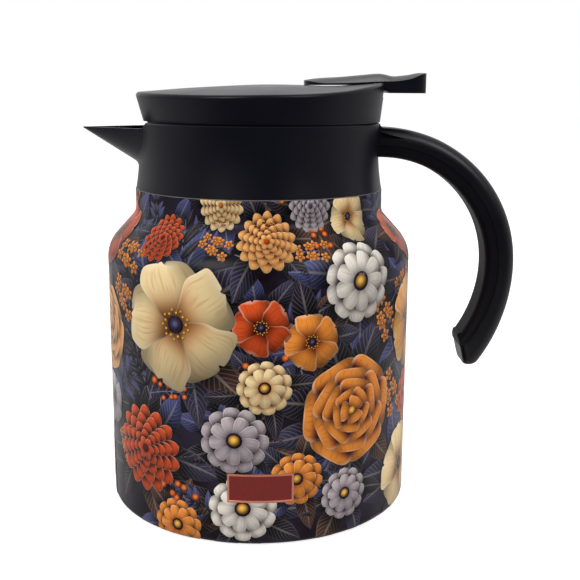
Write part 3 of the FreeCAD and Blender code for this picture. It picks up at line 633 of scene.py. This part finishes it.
def lay_print(quarters, shift):
    """One repeat of the print from the bottom layer up: sprigs, leaf fans, medium and large blooms."""
    random.seed(PRINT_SEED)
    taken = [(x, y, radius) for _, x, y, radius, _ in LARGE]
    medium = scatter(taken, MEDIUM_BLOOMS, MEDIUM_RADII)

    def sheets_at(along):
        return quarters[int((shift + along) % ROUND_THE_JUG / ROUND_THE_JUG * QUARTERS)]

    for k in range(SPRIGS):
        along = random.uniform(-REPEAT / 2, REPEAT / 2)
        fruit = (None, berry, None, star_flower)[k % 4]
        sprig(sheets_at(along), (shift + along, random.uniform(0, UP_HIGH)), random.uniform(0.3, 2.8),
              random.uniform(16, 24), LEAVES[k % 4], LEAF_LIFT + LAYER * random.uniform(0, 3),
              random.uniform(-0.3, 0.3), fruit)
    for x, y, radius in taken:
        fan = 9 if radius > 12 else 6
        for k in range(fan):
            angle = 2 * math.pi * (k + random.uniform(-0.3, 0.3)) / fan
            covered = 0.5 * radius
            root = (shift + x + covered * math.cos(angle), y + covered * math.sin(angle))
            length = 0.75 * radius + random.uniform(7, 12)
            leaf(sheets_at(x), root, angle, length, LEAVES[random.randrange(4)],
                 LEAF_LIFT + LAYER * random.uniform(0.5, 4), random.uniform(-0.22, 0.22),
                 random.uniform(0.40, 0.55), hidden=0.7 * covered / length)
    for k, (x, y, radius) in enumerate(medium):
        kind = (mallow, daisy, dahlia)[k % 3]
        tint = (SCARLET, ORANGE, CREAM, LILAC)[k % 4]
        kind(sheets_at(x), (shift + x, y), 1.05 * radius, tint, BLOOM_LIFT, random.uniform(0, ANY_TURN))
    for kind, x, y, radius, colours in LARGE:
        kind(sheets_at(x), (shift + x, y), radius, colours, BLOOM_LIFT + 2 * LAYER,
             random.uniform(0, ANY_TURN))


# %% [markdown]
# ## Printing inks
# The inks are matt pigments under the film's clear semi-gloss face, which is very slightly wavy from
# the heat-shrinking. Petals get a gradient from base to tip, streaks of the base colour that run up
# them like veins, and a pale rim. Leaves also get a light midrib with side ribs. Last, the painted
# light scales the colour.

# %% Ink materials
FILM_ROUGHNESS = 0.32
FILM_MIRROR = 0.10
FILM_WAVE_MM = 9.0
GROUND_CLOUD_MM = 14.0
LEAF_MM = 18.0
RIB_SPACING_MM = 2.2
PETAL_WIDTH_MM = 10.0
STREAK_MM = 0.55


def film_face(tree, shader):
    """The film's clear face over the ink."""
    place = add_node(tree, "ShaderNodeTexCoord").outputs["Object"]
    wave = add_node(tree, "ShaderNodeTexNoise", Vector=place, Scale=1 / (FILM_WAVE_MM * MM), Detail=1.0)
    bump = add_node(tree, "ShaderNodeBump", Strength=0.15, Distance=0.2 * MM, Height=wave)
    gloss = add_node(tree, "ShaderNodeMapRange", Value=wave, To_Min=FILM_ROUGHNESS - 0.05,
                     To_Max=FILM_ROUGHNESS + 0.05)
    wire(tree, shader, Roughness=gloss, Normal=bump, IOR=1.48, Specular_IOR_Level=FILM_MIRROR)


def ink(name, streaks, bleed, rim, ribs):
    """Printed ink that reads each patch's own colours, place and painted light."""
    material, tree, shader = new_material(name)
    film_face(tree, shader)
    place = add_node(tree, "ShaderNodeAttribute", {"attribute_name": "place"}).outputs["Vector"]
    inner = add_node(tree, "ShaderNodeAttribute", {"attribute_name": "inner"})
    outer = add_node(tree, "ShaderNodeAttribute", {"attribute_name": "outer"})
    light = add_node(tree, "ShaderNodeAttribute", {"attribute_name": "light"}).outputs["Fac"]
    split = add_node(tree, "ShaderNodeSeparateXYZ", Vector=place)
    side = add_node(tree, "ShaderNodeMath", {"operation": "ABSOLUTE"}, i0=split.outputs["Y"])
    stretch = add_node(tree, "ShaderNodeVectorMath", {"operation": "MULTIPLY"}, i0=place,
                       i1=(1.5, streaks, 40.0))
    streak = add_node(tree, "ShaderNodeTexNoise", Vector=stretch, Scale=1.0, Detail=2.0)
    vein = add_node(tree, "ShaderNodeMapRange", {"interpolation_type": "SMOOTHSTEP"}, Value=streak,
                    From_Min=0.50, From_Max=0.64, To_Min=0.0, To_Max=bleed)
    base = add_node(tree, "ShaderNodeMapRange", {"interpolation_type": "SMOOTHSTEP"},
                    Value=split.outputs["X"], From_Min=0.0, From_Max=0.75, To_Min=1.0, To_Max=0.0)
    fade = add_node(tree, "ShaderNodeMapRange", Value=split.outputs["X"], From_Min=0.3, From_Max=0.95,
                    To_Min=1.0, To_Max=0.15)
    faded = add_node(tree, "ShaderNodeMath", {"operation": "MULTIPLY"}, i0=vein, i1=fade)
    deep = add_node(tree, "ShaderNodeMath", {"operation": "MAXIMUM"}, i0=faded, i1=base)
    colour = add_node(tree, "ShaderNodeMix", {"data_type": "RGBA"}, i0=deep, i6=outer, i7=inner)
    flank = add_node(tree, "ShaderNodeMapRange", {"interpolation_type": "SMOOTHSTEP"}, Value=side,
                     From_Min=0.82, From_Max=1.0, To_Min=0.0, To_Max=rim)
    tip = add_node(tree, "ShaderNodeMapRange", {"interpolation_type": "SMOOTHSTEP"},
                   Value=split.outputs["X"], From_Min=0.88, From_Max=1.0, To_Min=0.0, To_Max=rim)
    edge = add_node(tree, "ShaderNodeMath", {"operation": "MAXIMUM"}, i0=flank, i1=tip)
    if ribs:
        slant = add_node(tree, "ShaderNodeMath", {"operation": "MULTIPLY_ADD"}, i0=side, i1=-0.35,
                         i2=split.outputs["X"])
        turns = add_node(tree, "ShaderNodeMath", {"operation": "MULTIPLY"}, i0=slant,
                         i1=2 * math.pi * LEAF_MM / RIB_SPACING_MM)
        swing = add_node(tree, "ShaderNodeMath", {"operation": "SINE"}, i0=turns)
        rib = add_node(tree, "ShaderNodeMapRange", {"interpolation_type": "SMOOTHSTEP"}, Value=swing,
                       From_Min=0.55, From_Max=1.0, To_Min=0.0, To_Max=0.5 * ribs)
        midrib = add_node(tree, "ShaderNodeMapRange", {"interpolation_type": "SMOOTHSTEP"}, Value=side,
                          From_Min=0.02, From_Max=0.14, To_Min=ribs, To_Max=0.0)
        lines = add_node(tree, "ShaderNodeMath", {"operation": "MAXIMUM"}, i0=rib, i1=midrib)
        edge = add_node(tree, "ShaderNodeMath", {"operation": "MAXIMUM"}, i0=edge, i1=lines)
    pale = add_node(tree, "ShaderNodeMix", {"data_type": "RGBA"}, i0=0.5, i6=outer, i7=linear("#fff2de"))
    rimmed = add_node(tree, "ShaderNodeMix", {"data_type": "RGBA"}, i0=edge, i6=colour, i7=pale)
    lit = add_node(tree, "ShaderNodeVectorMath", {"operation": "SCALE"}, i0=rimmed, Scale=light)
    wire(tree, shader, Base_Color=lit)
    return material


petal_ink = ink("Printed film, petal inks", streaks=PETAL_WIDTH_MM / STREAK_MM / 2, bleed=0.6, rim=0.60,
                ribs=0.0)
leaf_ink = ink("Printed film, leaf inks", streaks=3.0, bleed=0.4, rim=0.10, ribs=0.30)

# %% [markdown]
# ## The ground of the print
# Between the leaves the film is almost black, with faint clouds of plum and blue as a printed dark
# ground has. The film stops just below the collar, where the bare edge shows pale.

# %% Ground
ground, tree, shader = new_material("Printed film, night ground")
film_face(tree, shader)
place = add_node(tree, "ShaderNodeTexCoord").outputs["Object"]
cloud = add_node(tree, "ShaderNodeTexNoise", Vector=place, Scale=1 / (GROUND_CLOUD_MM * MM), Detail=4.0)
depth = add_node(tree, "ShaderNodeMapRange", {"interpolation_type": "SMOOTHSTEP"}, Value=cloud,
                 From_Min=0.35, From_Max=0.70)
tone = add_node(tree, "ShaderNodeMix", {"data_type": "RGBA"}, i0=depth, i6=linear("#0f080e"),
                i7=linear("#251e2e"))
height = add_node(tree, "ShaderNodeSeparateXYZ", Vector=place).outputs["Z"]
bare = add_node(tree, "ShaderNodeMath", {"operation": "GREATER_THAN"}, i0=height, i1=PRINT_TOP_Z * MM)
skin = add_node(tree, "ShaderNodeMix", {"data_type": "RGBA"}, i0=bare, i6=tone, i7=linear("#6a6769"))
wire(tree, shader, Base_Color=skin)
dress(["outer_shell"], ground)

# %% [markdown]
# ## Making the printed pieces
# Each quarter of the film becomes two meshes, leaves and blooms. They ride on the vessel, because
# the film never leaves the steel.

# %% Build the print
def printed_piece(name, sheet, material):
    """A mesh from one sheet, with the values that its ink reads."""
    mesh = bpy.data.meshes.new(name)
    mesh.from_pydata(sheet.points, [], sheet.faces)
    place = mesh.attributes.new("place", "FLOAT_VECTOR", "POINT")
    place.data.foreach_set("vector", [c for p in sheet.places for c in p])
    light = mesh.attributes.new("light", "FLOAT", "POINT")
    light.data.foreach_set("value", sheet.light)
    for key in ("inner", "outer"):
        colour = mesh.attributes.new(key, "FLOAT_COLOR", "POINT")
        colour.data.foreach_set("color", [c for p in getattr(sheet, key) for c in p])
    mesh.polygons.foreach_set("use_smooth", [True] * len(mesh.polygons))
    mesh.materials.append(material)
    piece = bpy.data.objects.new(name, mesh)
    bpy.context.collection.objects.link(piece)
    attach(piece, "vessel")
    print(name, len(mesh.polygons), "faces")


quarters = [{"leaf": Sheet(), "bloom": Sheet()} for _ in range(QUARTERS)]
for repeat in range(2):
    lay_print(quarters, repeat * REPEAT)
for number, sheets in enumerate(quarters, 1):
    printed_piece("print_leaves_%d" % number, sheets["leaf"], leaf_ink)
    printed_piece("print_blooms_%d" % number, sheets["bloom"], petal_ink)

# %% [markdown]
# ## The label plate
# Low on the front sits a small enamelled plate with a raised copper rim. It could be a bent box, but
# a plate that hugs the wall is easier to build in the unrolled plane: a grid whose lines lie close
# together on the rim. Each point is lifted by how many lines it is from the nearest edge.

# %% Label plate
LABEL_LEFT, LABEL_RIGHT = -11.6, 12.6
LABEL_LOW, LABEL_HIGH = 17.5 - WALL_LOW_Z, 28.4 - WALL_LOW_Z
RIM_INSETS = (0.0, 0.05, 0.15, 0.65, 0.78)
RIM_LIFTS = (0.02, 0.46, 0.50, 0.50, 0.42)
FIELD_STEPS = 16


def label_lines(low, high):
    """Places of the grid lines between two edges."""
    inside = [low + RIM_INSETS[-1] + (high - low - 2 * RIM_INSETS[-1]) * k / FIELD_STEPS
              for k in range(1, FIELD_STEPS)]
    return [low + inset for inset in RIM_INSETS] + inside + [high - inset for inset in reversed(RIM_INSETS)]


columns = label_lines(LABEL_LEFT, LABEL_RIGHT)
rows = label_lines(LABEL_LOW, LABEL_HIGH)
last = len(rows) - 1
label_points = []
label_faces = []
on_rim = []
for r, up in enumerate(rows):
    for c, along in enumerate(columns):
        from_edge = min(r, c, last - r, last - c, len(RIM_LIFTS) - 1)
        label_points.append(on_wall(along, up, RIM_LIFTS[from_edge]))
for r in range(last):
    for c in range(last):
        a = r * (last + 1) + c
        label_faces.append((a, a + 1, a + last + 2, a + last + 1))
        on_rim.append(min(r, c, last - 1 - r, last - 1 - c) < len(RIM_LIFTS) - 1)
label_mesh = bpy.data.meshes.new("label_plate")
label_mesh.from_pydata(label_points, [], label_faces)

# %% [markdown]
# The field is burgundy stove enamel with a faint orange-peel skin. The rim is copper, wiped clean on
# top, with a fine grain that varies its gloss.

# %% Label finish
ENAMEL_PEEL_MM = 0.6
COPPER_GRAIN_MM = 0.25
enamel, tree, shader = new_material("Stove enamel, burgundy")
place = add_node(tree, "ShaderNodeTexCoord").outputs["Object"]
peel = add_node(tree, "ShaderNodeTexNoise", Vector=place, Scale=1 / (ENAMEL_PEEL_MM * MM), Detail=3.0)
tone = add_node(tree, "ShaderNodeMix", {"data_type": "RGBA"}, i0=peel, i6=linear("#62201e"),
                i7=linear("#762d29"))
bump = add_node(tree, "ShaderNodeBump", Strength=0.2, Distance=0.05 * MM, Height=peel)
wire(tree, shader, Base_Color=tone, Normal=bump, Roughness=0.38, IOR=1.5, Specular_IOR_Level=0.10)
copper, tree, shader = new_material("Copper, wiped")
place = add_node(tree, "ShaderNodeTexCoord").outputs["Object"]
grain = add_node(tree, "ShaderNodeTexNoise", Vector=place, Scale=1 / (COPPER_GRAIN_MM * MM), Detail=2.0)
gloss = add_node(tree, "ShaderNodeMapRange", Value=grain, To_Min=0.30, To_Max=0.50)
wire(tree, shader, Base_Color=linear("#bc7661"), Roughness=gloss, Metallic=0.75)
label_mesh.materials.append(enamel)
label_mesh.materials.append(copper)
for face, copper_face in zip(label_mesh.polygons, on_rim):
    face.material_index = 1 if copper_face else 0
label = bpy.data.objects.new("label_plate", label_mesh)
bpy.context.collection.objects.link(label)
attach(label, "vessel")
print("Label plate", len(label_faces), "faces")

# %% [markdown]
# ## Camera
# The camera was fitted to the photograph's outlines: where the jug's edges, seam and base fall gives
# its distance, height and tilt. Its roll is under half a degree, as from a hand-held shot.

# %% Camera
CAMERA_PLACE = Vector((0.0, -383.7, 165.5)) * MM
CAMERA_PITCH = math.radians(12.07)
CAMERA_YAW = math.radians(1.88)
CAMERA_ROLL = math.radians(0.41)
FOCAL_PIXELS = 959.0
FRAME_PIXELS = 580

ahead = Vector((math.sin(CAMERA_YAW) * math.cos(CAMERA_PITCH),
                math.cos(CAMERA_YAW) * math.cos(CAMERA_PITCH), -math.sin(CAMERA_PITCH)))
right = Vector((math.cos(CAMERA_YAW), -math.sin(CAMERA_YAW), 0.0))
above = right.cross(ahead)
rolled_right = math.cos(CAMERA_ROLL) * right + math.sin(CAMERA_ROLL) * above
rolled_above = math.cos(CAMERA_ROLL) * above - math.sin(CAMERA_ROLL) * right
camera_data = bpy.data.cameras.new("photo_camera")
camera_data.sensor_width = 36.0
camera_data.lens = FOCAL_PIXELS / FRAME_PIXELS * camera_data.sensor_width
camera_data.clip_start = 0.01
camera = bpy.data.objects.new("photo_camera", camera_data)
turned = Matrix((rolled_right, rolled_above, -ahead)).transposed().to_4x4()
camera.matrix_world = Matrix.Translation(CAMERA_PLACE) @ turned
bpy.context.collection.objects.link(camera)
bpy.context.scene.camera = camera
print("Lens", round(camera_data.lens, 1), "mm")

# %% [markdown]
# ## Floor and light
# The jug stands on white paper in a white photo tent. The camera sees both as plain white. The light
# that they give the object is weaker, and so is the paper in a mirror. Two soft lamps high in front
# and one behind add shape, so that a colour renders about as it is written. The tent is open towards
# the camera, where the room is dim. That opening, mirrored in the front of the jug, is what makes
# black plastic look black there, while its edges mirror the paper and its top mirrors the cloth.

# %% Stage and lights
FLOOR_HALF = 6.0
FLOOR_FRONT = -0.20
TENT_LIGHT = 0.50
ROOM_LIGHT = 0.08
PAPER_GLOW = 0.75
PAPER_MIRROR = 0.15
OPENING_FRONT = -0.85
OPENING_BACK = 0.10
LAMP_AIM = (0, 0, 0.08)
LAMP_SIZE = 0.7


def seen_directly(tree, path):
    """A node that gives 1 for camera, mirror and see-through rays and 0 for light on the object."""
    first = add_node(tree, "ShaderNodeMath", {"operation": "ADD"}, i0=path.outputs["Is Camera Ray"],
                     i1=path.outputs["Is Glossy Ray"])
    return add_node(tree, "ShaderNodeMath", {"operation": "ADD", "use_clamp": True}, i0=first,
                    i1=path.outputs["Is Transmission Ray"])


floor_mesh = bpy.data.meshes.new("paper_floor")
floor_mesh.from_pydata([(-FLOOR_HALF, FLOOR_FRONT, 0), (FLOOR_HALF, FLOOR_FRONT, 0),
                        (FLOOR_HALF, FLOOR_HALF, 0), (-FLOOR_HALF, FLOOR_HALF, 0)], [], [(0, 1, 2, 3)])
floor = bpy.data.objects.new("paper_floor", floor_mesh)
bpy.context.collection.objects.link(floor)
paper, tree, shader = new_material("White paper floor")
path = add_node(tree, "ShaderNodeLightPath")
shown = add_node(tree, "ShaderNodeMapRange", Value=path.outputs["Is Camera Ray"], To_Min=PAPER_MIRROR,
                 To_Max=PAPER_GLOW)
glow = add_node(tree, "ShaderNodeMath", {"operation": "MULTIPLY"}, i0=seen_directly(tree, path), i1=shown)
wire(tree, shader, Base_Color=linear("#dadada"), Roughness=0.9, Specular_IOR_Level=0.0,
     Emission_Color=(1.0, 1.0, 1.0, 1.0), Emission_Strength=glow)
floor_mesh.materials.append(paper)

world = bpy.data.worlds.new("photo_tent")
bpy.context.scene.world = world
world.use_nodes = True
tree = world.node_tree
path = add_node(tree, "ShaderNodeLightPath")
heading = add_node(tree, "ShaderNodeTexCoord").outputs["Generated"]
forward = add_node(tree, "ShaderNodeSeparateXYZ", Vector=heading).outputs["Y"]
cloth = add_node(tree, "ShaderNodeMapRange", {"interpolation_type": "SMOOTHSTEP"}, Value=forward,
                 From_Min=OPENING_FRONT, From_Max=OPENING_BACK, To_Min=ROOM_LIGHT, To_Max=1.0)
level = add_node(tree, "ShaderNodeMapRange", Value=seen_directly(tree, path), To_Min=TENT_LIGHT, To_Max=1.0)
tent = add_node(tree, "ShaderNodeMath", {"operation": "MULTIPLY"}, i0=cloth, i1=level)
white = add_node(tree, "ShaderNodeMath", {"operation": "MAXIMUM"}, i0=tent,
                 i1=path.outputs["Is Camera Ray"])
wire(tree, tree.nodes["Background"], Color=(1.0, 1.0, 1.0, 1.0), Strength=white)


def soft_lamp(name, place, power):
    """A round softbox that points at the jug."""
    data = bpy.data.lights.new(name, "AREA")
    data.shape = "DISK"
    data.size = LAMP_SIZE
    data.energy = power
    lamp = bpy.data.objects.new(name, data)
    lamp.location = place
    lamp.rotation_euler = (Vector(LAMP_AIM) - Vector(place)).to_track_quat("-Z", "Y").to_euler()
    bpy.context.collection.objects.link(lamp)


soft_lamp("left_softbox", (-0.70, -0.95, 0.95), 13.0)
soft_lamp("right_softbox", (0.75, -0.90, 0.95), 10.0)
soft_lamp("back_softbox", (0.10, 0.60, 1.35), 6.0)
bpy.context.scene.view_settings.view_transform = "Standard"
